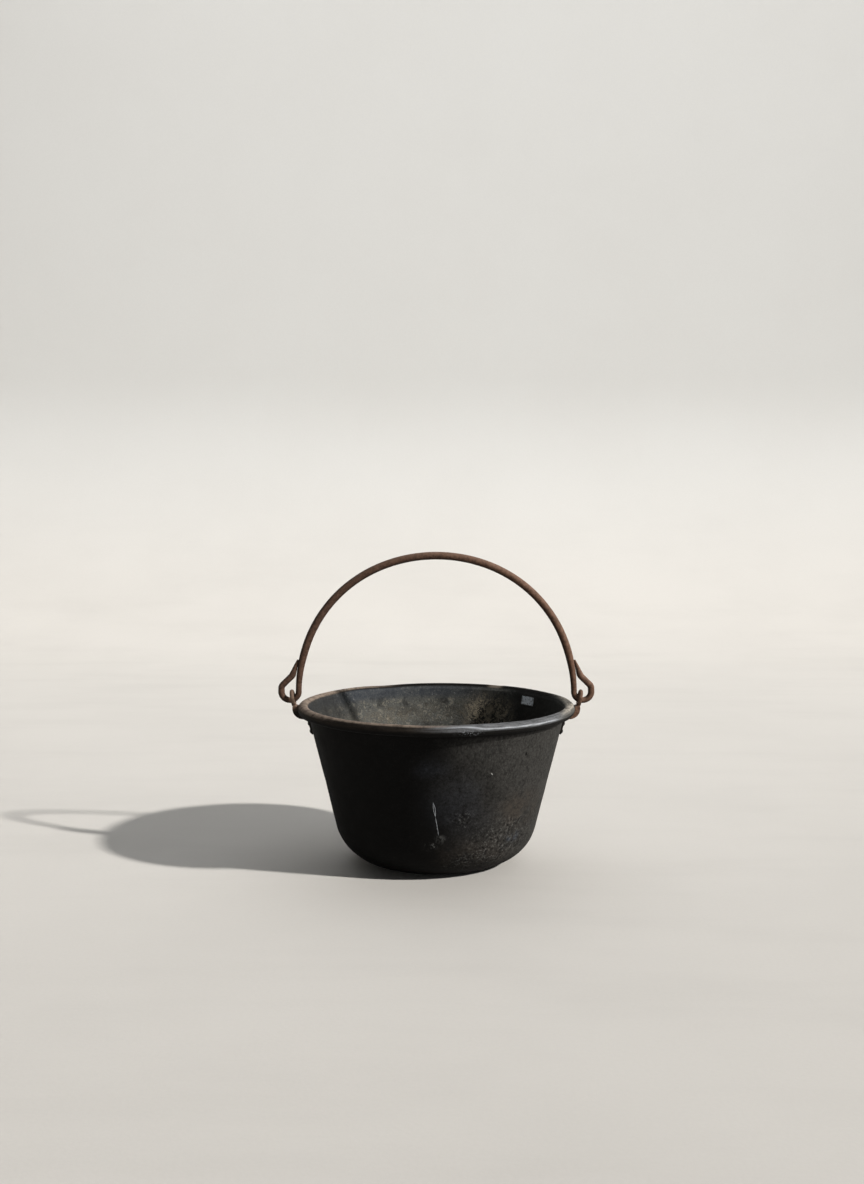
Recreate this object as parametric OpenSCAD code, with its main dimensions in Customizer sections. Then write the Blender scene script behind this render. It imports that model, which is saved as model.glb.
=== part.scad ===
// Open kettle of heavy sheet metal with a wired rim, two riveted ears and a swinging bail.
// Millimetres. +Z is up, the floor is Z = 0, and the two ears lie on the X axis.

/* [Kettle] */
// Outer diameter over the rolled rim
rim_d = 480; // [380:5:600]
// Height from the floor to the top of the rolled rim
kettle_h = 275; // [220:5:340]
// Thickness of the sheet
sheet_t = 3; // [2:0.25:4]
// How far the wall leans outwards, in degrees
wall_lean = 13.9; // [8:0.1:18]
// Outer radius between the wall and the bottom
corner_r = 82; // [60:1:100]

/* [Rolled rim] */
// Diameter of the wire that the sheet is rolled over
wire_d = 12; // [8:0.5:16]
// Play between the wire and the roll, all round
wire_play = 0.3; // [0.15:0.05:0.6]
// Angle round the wire at which the end of the sheet stops short of the wall, in degrees
roll_slit = 52; // [52:1:70]

/* [Ears] */
// Diameter of the bar that forms the eye
eye_bar_d = 7.6; // [6:0.2:9]
// Diameter of the hole through the eye
eye_hole_d = 16; // [15:0.5:20]
// How far the eye leans outwards, in degrees
eye_lean = 10; // [0:1:15]
// Angle round the rim at which the eye stands, above the level of the wire, in degrees
eye_seat_a = 16; // [10:1:20]
// How far the eye's bar stands proud of the curl below it
eye_proud = 1.9; // [0:0.1:3]
// Thickness of the curl that holds the rim from outside
curl_t = 9.5; // [7:0.5:12]
// Thickness of the strap on the wall
strap_t = 4; // [3:0.25:6]
// Width of the strap and of the curl
strap_w = 26; // [22:1:34]
// Width of the curl where the eye grows out of it
neck_w = 17; // [12:1:20]
// Diameter of the strap's rounded lower end
tongue_d = 20; // [16:1:22]
// Gap that the ears keep from the sheet
ear_seat = 0.15; // [0.1:0.05:0.3]

/* [Rivets] */
// Diameter of a rivet's shank
rivet_d = 4.5; // [4:0.25:6]
// Diameter of a rivet's domed outer head
rivet_head_d = 10.5; // [9:0.5:12]
// Height of a rivet's domed outer head
rivet_head_h = 2.5; // [2:0.5:4]
// Height of a rivet's flattened inner head
rivet_tail_h = 2; // [1.5:0.5:3]
// Distance down the wall from the wire to the upper rivet
rivet_drop = 30; // [29:0.5:34]
// Distance between the upper and the lower rivet
rivet_pitch = 13.5; // [12.5:0.5:20]
// Distance from the lower rivet to the end of the strap
rivet_edge = 6.5; // [6:0.5:12]
// Play round a rivet's shank
rivet_play = 0.1; // [0.05:0.05:0.3]

/* [Bail] */
// Diameter of the bail's rod
rod_d = 12.7; // [10:0.1:16]
// Diameter of the rod where it is drawn down for the loops
hook_d = 10.5; // [8:0.1:11]
// Radius of the bow at the bottom of each loop, to the middle of the rod
bow_r = 15; // [14:0.5:18]
// Length of the upright piece on the outer side of each loop
limb_l = 5; // [2:0.5:10]
// Radius of the bend above that piece, to the middle of the rod
bend_r = 10.5; // [9:0.5:14]
// Length of the slanting piece above that bend
slant_l = 19; // [16:0.5:22]
// Radius of the bend that lays the tip along the rod, to the middle of the rod
lay_r = 14; // [11:0.5:18]
// How much that bend turns back, in degrees
lay_a = 26; // [20:1:30]
// Length of the tapered tip that lies along the rod
tip_l = 26; // [20:1:30]
// Diameter at the end of the tip
tip_d = 3.5; // [2:0.5:5]
// Gap between the tip and the rod that it lies against
tip_gap = 0.4; // [0.2:0.1:2]
// Angle of the arch over which the rod is drawn down, in degrees
draw_a = 20; // [12:1:30]
// How much lower the arch stands than the top of the loops' bows
crown_drop = 2.75; // [0:0.25:5]
// Gap in which the bail hangs in the eye
hang_gap = 0.2; // [0.1:0.05:0.4]
// Gap between the upright rod and the side of the eye
side_gap = 0.95; // [0.6:0.05:2]

/* [Hidden] */
$fn = 96;

// How far a cutter reaches past what it cuts, and the sides of the round cutters
past = 5;
fine = 360;
// How far a drawn-down end is let into the round bar it grows from, and how much thinner it is there
lap = 0.8;
lap_step = 0.12;
// Sides of a drawn-down stretch of rod, and its lengths per stretch
rod_sides = 24;
draw_steps = 8;
bend_steps = 6;
tip_steps = 5;

// Rolled rim: radius of its section, and the middle of the wire
wire_r = wire_d / 2;
roll_in = wire_r + wire_play;
roll_r = roll_in + sheet_t;
roll_x = rim_d / 2 - roll_r;
roll_z = kettle_h - roll_r;

// Wall: its inner face touches the roll, so its outer face passes the wire at roll_in.
// Length of the wall between corner and roll, and radius of the flat bottom.
wall_l = (roll_z - corner_r + (corner_r + roll_in) * sin(wall_lean)) / cos(wall_lean);
flat_r = roll_x - (corner_r + roll_in) * cos(wall_lean) - wall_l * sin(wall_lean);
// Radius of the wall's outer face at the height of the wire
wall_x = roll_x - roll_in / cos(wall_lean);

// Ear: outer radius of the curl, middle of the eye's lower bar, and middle of the eye
curl_r = roll_r + ear_seat + curl_t;
eye_bar_r = eye_bar_d / 2;
eye_r = (eye_hole_d + eye_bar_d) / 2;
neck_d = curl_r - eye_bar_r + eye_proud;
eye_foot = [roll_x + neck_d * cos(eye_seat_a), roll_z + neck_d * sin(eye_seat_a)];
eye_mid = eye_foot + eye_r * [sin(eye_lean), cos(eye_lean)];
// Top of the curl, as an angle from the outward normal of the wall
curl_top_a = eye_seat_a + wall_lean + 2;
// Faces of the strap, measured outwards from the wire along the normal of the wall
strap_in = ear_seat - roll_in;
strap_out = strap_in + strap_t;
strap_l = rivet_drop + rivet_pitch + rivet_edge;

// Bail: the rod stands beside the eye and its bow hangs in it
hook_r = hook_d / 2;
span_r = eye_mid[0] - eye_bar_r - hook_r - side_gap;
bow_x = span_r + bow_r;
bow_off = bow_x - eye_foot[0];
bow_z = eye_foot[1] + sqrt(pow(bow_r + hook_r + eye_bar_r + hang_gap, 2) - bow_off * bow_off);
// Height of the line that the bail swings about, where the rod crosses the eyes
swing_z = bow_z - sqrt(bow_r * bow_r - bow_off * bow_off);
// Middle of the arch, and the angle at which the arch ends at the height of the bow
arch_z = bow_z - crown_drop;
arch_end = asin(crown_drop / span_r);

// Kettle

// Ring of the sheet, from a section drawn about the middle of the corner
module sheet_ring() {
    rotate_extrude()
        translate([flat_r, corner_r])
            children();
}

// Bottom, corner, wall and roll. The sheet is rolled outwards over the wire,
// and its end stops just short of the wall.
module sheet() {
    reach = 2 * corner_r;
    cylinder(h = sheet_t, r = flat_r);
    sheet_ring()
        intersection() {
            difference() {
                circle(corner_r);
                circle(corner_r - sheet_t);
            }
            translate([0, -reach])
                square(reach);
            rotate(-wall_lean)
                translate([-reach, -reach])
                    square([2 * reach, reach]);
        }
    sheet_ring()
        rotate(-wall_lean)
            translate([corner_r - sheet_t, 0])
                square([sheet_t, wall_l]);
    sheet_ring()
        rotate(-wall_lean)
            translate([corner_r + roll_in, wall_l])
                difference() {
                    circle(roll_r);
                    circle(roll_in);
                    polygon([[0, 0], 2 * roll_r * [-1, 0],
                             2 * roll_r * [-cos(roll_slit / 2), -sin(roll_slit / 2)],
                             2 * roll_r * [-cos(roll_slit), -sin(roll_slit)]]);
                }
}

// Frame on the wall: X along the outward normal, Z up the wall, from the middle of the wire
module on_wall(side) {
    mirror([side < 0 ? 1 : 0, 0, 0])
        translate([roll_x, 0, roll_z])
            rotate([0, wall_lean, 0])
                children();
}

// Holes for the two rivets of one ear
module rivet_holes(side) {
    on_wall(side)
        for (drop = [rivet_drop, rivet_drop + rivet_pitch])
            translate([-roll_r - past, 0, -drop])
                rotate([0, 90, 0])
                    cylinder(d = rivet_d + 2 * rivet_play, h = roll_r + strap_t + 2 * past);
}

module kettle_body() {
    color([0.16, 0.15, 0.14])
        difference() {
            sheet();
            rivet_holes(1);
            rivet_holes(-1);
        }
}

module rim_wire() {
    color([0.30, 0.24, 0.20])
        rotate_extrude()
            translate([roll_x, roll_z])
                circle(wire_r);
}

// Ears

// Outer faces of the sheet, grown by the gap that the ears keep, and turned
// so that their seams lie away from the ears
module seat_cutter() {
    face_x = wall_x + ear_seat / cos(wall_lean);
    low = roll_z - corner_r;
    fall = tan(wall_lean);
    rotate(90) {
        translate([0, 0, corner_r])
            cylinder(r1 = face_x - low * fall, r2 = face_x + sheet_t * fall, h = low + sheet_t, $fn = fine);
        rotate_extrude($fn = fine)
            translate([roll_x, roll_z])
                circle(roll_r + ear_seat);
    }
}

// Piece of an ear from its side view, with X along the normal of the wall and Y up the wall
module ear_piece() {
    rotate([90, 0, 0])
        linear_extrude(strap_w + past, center = true)
            children();
}

// Curl, strap and the fillet between them, wider than the ear.
// All reach into the sheet, where the cutter shapes them to it.
module ear_side() {
    inside = strap_in - sheet_t / 2;
    reach = 2 * curl_r;
    fillet_y = rivet_head_d / 2 + ear_seat - rivet_drop;
    ear_piece()
        intersection() {
            circle(curl_r);
            polygon([[0, 0], [(strap_in + strap_out) / 2, -reach], [reach, -reach], [reach, 0],
                     reach * [cos(curl_top_a), sin(curl_top_a)]]);
        }
    ear_piece()
        translate([inside, -strap_l])
            square([strap_out - inside, strap_l - roll_in / 2]);
    ear_piece()
        polygon([[inside / 2, -roll_r], [(inside + strap_out) / 2, fillet_y], [strap_out, fillet_y],
                 (curl_r - 1) * [sin(20), -cos(20)]]);
}

// Outline of curl and strap from the front: a narrow neck, and a tongue whose end is
// rounded by a disc that stands a little wider than the taper above it
module ear_front() {
    disc_r = tongue_d / 2;
    disc_y = disc_r - strap_l;
    side_x = disc_r - ear_seat;
    rotate([90, 0, 90])
        linear_extrude(4 * curl_r, center = true)
            polygon([[-side_x, disc_y], [side_x, disc_y], [strap_w / 2, -curl_r],
                     [strap_w / 2, -sheet_t], [neck_w / 2, curl_r], [-neck_w / 2, curl_r],
                     [-strap_w / 2, -sheet_t], [-strap_w / 2, -curl_r]]);
    translate([0, 0, disc_y])
        rotate([0, 90, 0])
            cylinder(r = disc_r, h = 4 * curl_r, center = true);
}

module ear(side) {
    difference() {
        union() {
            on_wall(side)
                intersection() {
                    union()
                        ear_side();
                    union()
                        ear_front();
                }
            mirror([side < 0 ? 1 : 0, 0, 0])
                translate([eye_mid[0], 0, eye_mid[1]])
                    rotate([0, 90 + eye_lean, 0])
                        rotate_extrude()
                            translate([eye_r, 0])
                                circle(eye_bar_r);
        }
        seat_cutter();
        rivet_holes(side);
    }
}

module left_ear() {
    color([0.38, 0.32, 0.27])
        ear(-1);
}

module right_ear() {
    color([0.36, 0.28, 0.23])
        ear(1);
}

// Rivets

// Low dome on the XY plane
module dome(d, h) {
    ball_r = (d * d / 4 + h * h) / (2 * h);
    intersection() {
        translate([0, 0, h - ball_r])
            sphere(ball_r);
        translate([-d, -d, 0])
            cube([2 * d, 2 * d, 2 * h]);
    }
}

// Rivet through the strap and the wall, with its round head outside
module rivet(side, drop) {
    tail = -roll_r - ear_seat;
    color([0.20, 0.17, 0.15])
        on_wall(side)
            translate([0, 0, -drop])
                rotate([0, 90, 0]) {
                    translate([0, 0, tail - past / 10])
                        cylinder(d = rivet_d, h = strap_out - tail + past / 5);
                    translate([0, 0, strap_out])
                        dome(rivet_head_d, rivet_head_h);
                    translate([0, 0, tail])
                        mirror([0, 0, 1])
                            dome(rivet_head_d, rivet_tail_h);
                }
}

module left_upper_rivet() rivet(-1, rivet_drop);
module left_lower_rivet() rivet(-1, rivet_drop + rivet_pitch);
module right_upper_rivet() rivet(1, rivet_drop);
module right_lower_rivet() rivet(1, rivet_drop + rivet_pitch);

// Bail

// Piece of round bar bent in the XZ plane about a point, between two directions
module bent_bar(mid, r, d, from, to) {
    translate([mid[0], 0, mid[1]])
        rotate([90, 0, 0])
            rotate([0, 0, from])
                rotate_extrude(angle = to - from)
                    translate([r, 0])
                        circle(d = d);
}

// Place and heading after a bend. A path's place is [x, z, heading].
function bend(at, r, turn) =
    let (way = turn < 0 ? -r : r, a = at[2], b = at[2] + turn)
    [at[0] + way * (sin(b) - sin(a)), at[1] + way * (cos(a) - cos(b)), b];

// Place and heading after a straight piece
function ahead(at, l) = [at[0] + l * cos(at[2]), at[1] + l * sin(at[2]), at[2]];

// Round bar along a path of places in the XZ plane, with a diameter at each
module drawn_bar(path, diameters) {
    n = rod_sides;
    last = len(path) - 1;
    points = [for (i = [0:last], j = [0:n - 1])
        let (r = diameters[i] / 2, out = r * cos(360 * j / n), a = path[i][2])
        [path[i][0] - out * sin(a), r * sin(360 * j / n), path[i][1] + out * cos(a)]];
    sides = [for (i = [0:last - 1], j = [0:n - 1])
        let (a = i * n + j, b = i * n + (j + 1) % n)
        each [[a, b, a + n], [b, b + n, a + n]]];
    ends = [[for (j = [n - 1:-1:0]) j], [for (j = [0:n - 1]) last * n + j]];
    polyhedron(points, concat(sides, ends), convexity = 4);
}

// Thickness of the rod at an angle of the arch
function rod_at(a) = hook_d + (rod_d - hook_d) * min(1, max(0, (a - arch_end) / (draw_a - arch_end)));

// Right foot of the arch, where the rod is drawn down to the loop
module arch_foot() {
    from = draw_a + lap / span_r * 180 / PI;
    start = [span_r * cos(from), arch_z + span_r * sin(from), from - 90];
    angles = [for (i = [0:draw_steps]) from + (arch_end - from) * i / draw_steps];
    arc = [for (a = angles) bend(start, span_r, a - from)];
    path = concat(arc, [[span_r, bow_z - lap, -90]]);
    drawn_bar(path, concat([for (a = angles) rod_at(a) - lap_step], [hook_d - lap_step]));
}

// Thickness at each place of the bend that lays the tip, and of the tip itself
limb_d = hook_d - lap_step;
tip_sizes = concat([for (i = [0:bend_steps]) limb_d],
                   [for (i = [1:tip_steps]) limb_d + (tip_d - limb_d) * i / tip_steps]);

// Places along the outer limb and the tip, from the end of the bow, for a bend of an angle
function limb_path(angle) =
    let (start = [bow_x + bow_r, bow_z - lap, 90],
         foot = ahead(start, lap + limb_l),
         bends = [for (i = [0:bend_steps]) bend(foot, bend_r, angle * i / bend_steps)],
         neck = ahead(bends[bend_steps], slant_l),
         lays = [for (i = [0:bend_steps]) bend(neck, lay_r, -lay_a * i / bend_steps)],
         tip = [for (i = [1:tip_steps]) ahead(lays[bend_steps], tip_l * i / tip_steps)])
    concat([start], bends, lays, tip);

// Smallest gap between the tip and the rod, for a bend of an angle
function tip_room(angle) =
    let (path = limb_path(angle), first = len(path) - len(tip_sizes))
    min([for (i = [0:len(tip_sizes) - 1])
        let (x = path[first + i][0], z = path[first + i][1] - arch_z)
        norm([x, z]) - span_r - (rod_at(atan2(z, x)) + tip_sizes[i]) / 2]);

// Bend at which the tip keeps its gap from the rod, found by halving between two angles
function closing_bend(low, high, tries) =
    let (mid = (low + high) / 2)
    tries == 0 ? mid
        : tip_room(mid) > tip_gap ? closing_bend(mid, high, tries - 1)
        : closing_bend(low, mid, tries - 1);

// Right loop: the bow that hangs in the eye, the outer limb, and the tip laid back against the rod
module loop() {
    bent_bar([bow_x, bow_z], bow_r, hook_d, 180, 360);
    path = limb_path(closing_bend(0, 90, 20));
    thin = [for (i = [0:len(path) - len(tip_sizes) - 1]) limb_d];
    drawn_bar(path, concat(thin, tip_sizes));
}

module bail() {
    color([0.36, 0.27, 0.22]) {
        bent_bar([0, arch_z], span_r, rod_d, draw_a, 180 - draw_a);
        for (side = [0, 1])
            mirror([side, 0, 0]) {
                arch_foot();
                loop();
            }
    }
}

kettle_body();
rim_wire();
left_ear();
right_ear();
left_upper_rivet();
left_lower_rivet();
right_upper_rivet();
right_lower_rivet();
bail();
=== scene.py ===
"""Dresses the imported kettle: blackened sheet with a worn rolled rim, forged ears and a rusted bail."""

import math

import bmesh
import bpy
import numpy as np
from bpy.props import FloatProperty, FloatVectorProperty, IntProperty, PointerProperty
from bpy.types import Operator, Panel, PropertyGroup
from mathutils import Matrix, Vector, noise


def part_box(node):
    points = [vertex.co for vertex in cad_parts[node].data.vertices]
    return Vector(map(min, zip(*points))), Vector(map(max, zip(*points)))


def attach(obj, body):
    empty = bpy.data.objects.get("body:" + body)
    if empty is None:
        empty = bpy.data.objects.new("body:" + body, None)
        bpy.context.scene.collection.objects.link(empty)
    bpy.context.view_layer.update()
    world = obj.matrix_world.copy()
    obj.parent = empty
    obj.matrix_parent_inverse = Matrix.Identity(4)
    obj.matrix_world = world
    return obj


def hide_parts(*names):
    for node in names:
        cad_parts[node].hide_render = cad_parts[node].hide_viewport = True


bl_info = {
    "name": "Hearth kettle",
    "version": (1, 0, 0),
    "blender": (4, 5, 0),
    "location": "View3D > Sidebar > Kettle",
    "description": "Builds the visible pieces of an open kettle with a wired rim and a swinging bail",
    "category": "Object",
}

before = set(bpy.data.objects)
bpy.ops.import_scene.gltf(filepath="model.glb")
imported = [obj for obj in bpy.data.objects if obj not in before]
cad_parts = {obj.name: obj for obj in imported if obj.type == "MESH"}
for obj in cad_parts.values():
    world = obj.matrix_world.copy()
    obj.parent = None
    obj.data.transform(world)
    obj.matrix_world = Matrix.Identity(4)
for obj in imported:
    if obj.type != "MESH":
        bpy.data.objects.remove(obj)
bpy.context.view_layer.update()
SHEET_LOW, SHEET_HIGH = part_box("kettle_body")
BAIL_LOW, BAIL_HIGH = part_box("bail")

MM = 0.001
SIDES = {"left": -1, "right": 1}


# Sizes and colours


def length(name, description, default):
    return FloatProperty(name=name, description=description, default=default, unit="LENGTH", precision=5)


def angle(name, description, degrees):
    return FloatProperty(name=name, description=description, default=math.radians(degrees), subtype="ANGLE")


def share(name, description, default):
    return FloatProperty(name=name, description=description, default=default, min=0, max=1, subtype="FACTOR")


def colour(name, description, default):
    return FloatVectorProperty(
        name=name, description=description, default=default, min=0, max=1, size=3, subtype="COLOR"
    )


class KettleSheetSizes(PropertyGroup):
    rim_radius: length("Rim radius", "Outer radius over the rolled rim", SHEET_HIGH.x)
    height: length("Height", "Height of the rolled rim above the floor", SHEET_HIGH.z)
    thickness: length("Sheet", "Thickness of the sheet", 3 * MM)
    lean: angle("Lean", "How far the wall leans outwards", 13.9)
    corner: length("Corner", "Outer radius between the wall and the bottom", 82 * MM)
    wire: length("Wire", "Radius of the wire in the rim", 6 * MM)
    play: length("Play", "Play between the wire and the roll", 0.3 * MM)
    slit: angle("Slit", "Angle round the wire at which the sheet stops short of the wall", 52)
    swell: length("Swells", "Depth of the broad swells that use has left in the wall", 0.55 * MM)
    hammer: length("Hammer marks", "Depth of the marks of the planishing hammer", 0.2 * MM)
    wave: length("Rim wave", "How far the rim wanders from a true circle", 0.75 * MM)
    segments: IntProperty(name="Segments", description="Steps round the kettle", default=344, min=64)


class KettleIronSizes(PropertyGroup):
    grid: length("Grid", "Size of the cells that the forged ears are drawn in", 0.5 * MM)
    rounds: IntProperty(name="Wear", description="How often the ears' edges are rubbed down", default=7, min=0)
    dents: length("Hammer marks", "Depth of the hammer marks on the ears and the bail", 0.28 * MM)
    pits: length("Pits", "Depth of the rust pits on the ears and the bail", 0.07 * MM)
    shank: length("Shank", "Radius of a rivet's shank", 2.25 * MM)
    head: length("Rivet head", "Radius of a rivet's outer head", 5.25 * MM)
    head_rise: length("Head rise", "Height of a rivet's outer head", 2.5 * MM)
    tail_rise: length("Tail rise", "Height of a rivet's inner head", 2 * MM)
    strap: length("Strap", "Thickness of the ears' straps", 4 * MM)
    seat: length("Seat", "Gap between the ears and the sheet", 0.15 * MM)
    drop: length("Drop", "Distance down the wall from the wire to the upper rivets", 30 * MM)
    pitch: length("Pitch", "Distance between the upper and the lower rivets", 13.5 * MM)


class KettleBailSizes(PropertyGroup):
    rod: length("Rod", "Radius of the bail's rod", 6.65 * MM)
    hook: length("Hook", "Radius of the rod where it is drawn down", 5.25 * MM)
    limb_rod: length("Limb rod", "Radius of the rod on the outer side of each loop", 5.7 * MM)
    bow: length("Bow", "Radius of the bow at the bottom of each loop", 15 * MM)
    limb: length("Limb", "Length of the upright piece of each loop", 5 * MM)
    bend: length("Bend", "Radius of the bend above the limb", 10.5 * MM)
    bend_turn: angle("Bend turn", "Angle of the bend above the limb", 46.0)
    slant: length("Slant", "Length of the slanting piece of each loop", 19 * MM)
    lay: length("Lay bend", "Radius of the bend that lays the tip along the rod", 14 * MM)
    lay_turn: angle("Lay turn", "How much that bend turns back", 26)
    tip: length("Tip", "Length of the tapered tip", 26 * MM)
    tip_end: length("Tip end", "Radius at the end of the tip", 1.75 * MM)
    draw: angle("Draw", "Angle of the arch over which the rod is drawn down", 20)
    crown_drop: length("Crown drop", "How much lower the arch stands than the bows", 2.75 * MM)
    shoulder: length("Shoulder", "How far the shoulders of the arch stand out", 2.2 * MM)
    step: length("Step", "Length of each step along the rod", 1.1 * MM)
    sides: IntProperty(name="Sides", description="Steps round the rod", default=44, min=12)


class KettleColours(PropertyGroup):
    soot: colour("Soot", "Blackened sheet", (0.0040, 0.0039, 0.0038))
    # Rubbed soot; also the painted light on the sheet's side and the rivets' tops that face the light
    rubbed_soot_and_light: colour("Rubbed soot", "Blackened sheet where it is rubbed", (0.036, 0.035, 0.033))
    soot_blue: colour("Cool soot", "Bluish film on the sheet", (0.021, 0.024, 0.031))
    # Deep soot in the pits; also painted shade at the foot, under the roll and under the iron
    deep_soot_and_shade: colour("Deep soot", "Thick soot in pits and under the rim", (0.0036, 0.0034, 0.0032))
    scorch: colour("Scorch", "Brown tint of burnt sheet", (0.043, 0.035, 0.028))
    crust: colour("Crust", "Grey crust inside the kettle", (0.084, 0.087, 0.082))
    crust_pale: colour("Pale crust", "Pale grains of the crust", (0.205, 0.195, 0.165))
    # Dark crust for the dark patches; also the painted shade on the right of the inside
    dark_crust_and_shade: colour("Dark crust", "Dark patches inside the kettle", (0.027, 0.027, 0.026))
    crust_blue: colour("Cool crust", "Bluish crust under the rim", (0.040, 0.048, 0.062))
    ochre: colour("Ochre", "Tan and ochre stains inside the kettle", (0.330, 0.290, 0.220))
    bare: colour("Worn rim", "Greyish tan of the worn rim", (0.250, 0.200, 0.162))
    bare_pale: colour("Pale rim", "Pale grey of the worn rim beside the right ear", (0.43, 0.40, 0.35))
    steel: colour("Rubbed rim", "Bluish grey of the rubbed rim", (0.150, 0.157, 0.168))
    # Pale polished metal, used for the scratch and for the painted highlight along the rim
    polish_and_highlight: colour("Polished rim", "Pale edge of the polished rim", (0.52, 0.56, 0.61))
    ash: colour("Ash", "Pale specks and scratches", (0.50, 0.51, 0.50))
    rust: colour("Rust", "Chocolate brown rust on the bail", (0.144, 0.076, 0.048))
    # Dry rust; also the painted light on the iron's upper faces
    dry_rust_and_light: colour("Dry rust", "Dry rust on the upper faces", (0.260, 0.166, 0.124))
    # Dark iron; also the painted shade under and on the left of the iron
    dark_iron_and_shade: colour("Dark iron", "Dark iron under the rust", (0.026, 0.016, 0.012))
    ear_dust: colour("Ear", "Greyish tan of the left ear", (0.150, 0.104, 0.076))
    paper: colour("Paper", "Remnant of a bare paper tag", (0.78, 0.85, 0.92))
    floor: colour("Floor", "Pale studio floor", (0.66, 0.65, 0.628))
    sweep: colour("Sweep", "Where the floor sweeps up behind", (0.715, 0.725, 0.720))


GROUPS = {
    "kettle_sheet": KettleSheetSizes,
    "kettle_iron": KettleIronSizes,
    "kettle_bail": KettleBailSizes,
    "kettle_colours": KettleColours,
}


# Shader expressions


class Value:
    """A socket of a material's node, so that masks can be written as sums."""

    def __init__(self, finish, socket):
        self.finish = finish
        self.socket = socket

    def maths(self, operation, first, second, limit=False):
        settings = {"operation": operation, "use_clamp": limit}
        return self.finish.add("ShaderNodeMath", settings, {0: first, 1: second})

    def __add__(self, other):
        return self.maths("ADD", self, other)

    __radd__ = __add__

    def __mul__(self, other):
        return self.maths("MULTIPLY", self, other)

    __rmul__ = __mul__

    def __sub__(self, other):
        return self.maths("SUBTRACT", self, other)

    def __rsub__(self, other):
        return self.maths("SUBTRACT", other, self)

    def __truediv__(self, other):
        return self.maths("DIVIDE", self, other)

    def __pow__(self, other):
        return self.maths("POWER", self, other)

    def __abs__(self):
        return self.maths("ABSOLUTE", self, 0)

    def limited(self):
        return self.maths("ADD", self, 0, limit=True)

    def band(self, low, high):
        """0 below low, 1 above high and smooth between. High may lie below low."""
        return self.finish.add(
            "ShaderNodeMapRange",
            {"interpolation_type": "SMOOTHSTEP"},
            {"Value": self, "From Min": low, "From Max": high},
        )


class Finish:
    """A procedural material, drawn in the piece's own coordinates."""

    def __init__(self, name):
        self.material = bpy.data.materials.new(name)
        self.material.use_nodes = True
        self.tree = self.material.node_tree
        self.tree.nodes.clear()
        self.point = self.add("ShaderNodeTexCoord", output="Object")

    def add(self, kind, settings=None, inputs=None, output=0):
        """Adds a node of a kind, with its settings, then the values or links of its sockets."""
        node = self.tree.nodes.new(kind)
        for key, value in (settings or {}).items():
            setattr(node, key, value)
        for key, value in (inputs or {}).items():
            if isinstance(value, Value):
                self.tree.links.new(value.socket, node.inputs[key])
            else:
                node.inputs[key].default_value = value
        return None if output is None else Value(self, node.outputs[output])

    def mix(self, factor, first, second):
        """Colour from first to second."""
        first, second = (c if isinstance(c, Value) else (*c, 1) for c in (first, second))
        return self.add("ShaderNodeMix", {"data_type": "RGBA"}, {0: factor, 6: first, 7: second}, 2)

    def tint(self, tone, amount):
        """Colour times a grey tone."""
        grey = self.add("ShaderNodeCombineColor", None, {0: amount, 1: amount, 2: amount})
        settings = {"data_type": "RGBA", "blend_type": "MULTIPLY"}
        return self.add("ShaderNodeMix", settings, {0: 1.0, 6: tone, 7: grey}, 2)

    def stretched(self, x, y, z):
        """The piece's coordinates, scaled along each axis."""
        return self.add("ShaderNodeVectorMath", {"operation": "MULTIPLY"}, {0: self.point, 1: (x, y, z)})

    def axes(self):
        split = self.add("ShaderNodeSeparateXYZ", None, {0: self.point})
        return split, *(Value(self, split.socket.node.outputs[i]) for i in (1, 2))

    def noise(self, size, detail=3.0, roughness=0.55, point=None, distortion=0.0):
        """Cloudy noise with features of about one size, in metres."""
        return self.add(
            "ShaderNodeTexNoise",
            None,
            {
                "Vector": point or self.point,
                "Scale": 1 / size,
                "Detail": detail,
                "Roughness": roughness,
                "Distortion": distortion,
            },
        )

    def cells(self, size, feature="F1", point=None):
        """Distance from the middle of scattered cells of about one size, in metres."""
        return self.add(
            "ShaderNodeTexVoronoi", {"feature": feature}, {"Vector": point or self.point, "Scale": 1 / size}
        )

    def attribute(self, name):
        return self.add("ShaderNodeAttribute", {"attribute_name": name}, None, "Fac")

    def facing(self, axis):
        """How far the surface faces along an axis, from -1 to 1."""
        normal = self.add("ShaderNodeNewGeometry", None, None, "Normal")
        split = self.add("ShaderNodeSeparateXYZ", None, {0: normal})
        return Value(self, split.socket.node.outputs["XYZ".index(axis)])

    def spot(self, place, radii):
        """1 in the middle of a soft spot about a place, 0 outside its radii."""
        off = self.add("ShaderNodeVectorMath", {"operation": "SUBTRACT"}, {0: self.point, 1: place})
        off = self.add("ShaderNodeVectorMath", {"operation": "DIVIDE"}, {0: off, 1: radii})
        far = self.add("ShaderNodeVectorMath", {"operation": "LENGTH"}, {0: off}, "Value")
        return far.band(1.0, 0.2)

    def finish(self, tone, roughness, metallic, height, depth, specular=0.5, glow=None):
        """Joins everything to the shader. The height's full swing is depth metres."""
        bump = self.add("ShaderNodeBump", None, {"Strength": 1.0, "Distance": depth, "Height": height}, "Normal")
        inputs = {
            "Base Color": tone,
            "Roughness": roughness,
            "Metallic": metallic,
            "Specular IOR Level": specular,
            "Normal": bump,
        }
        if glow:
            inputs |= {"Emission Color": glow, "Emission Strength": 1.0}
        shader = self.add("ShaderNodeBsdfPrincipled", None, inputs)
        self.add("ShaderNodeOutputMaterial", None, {"Surface": shader}, None)
        return self.material


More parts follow.
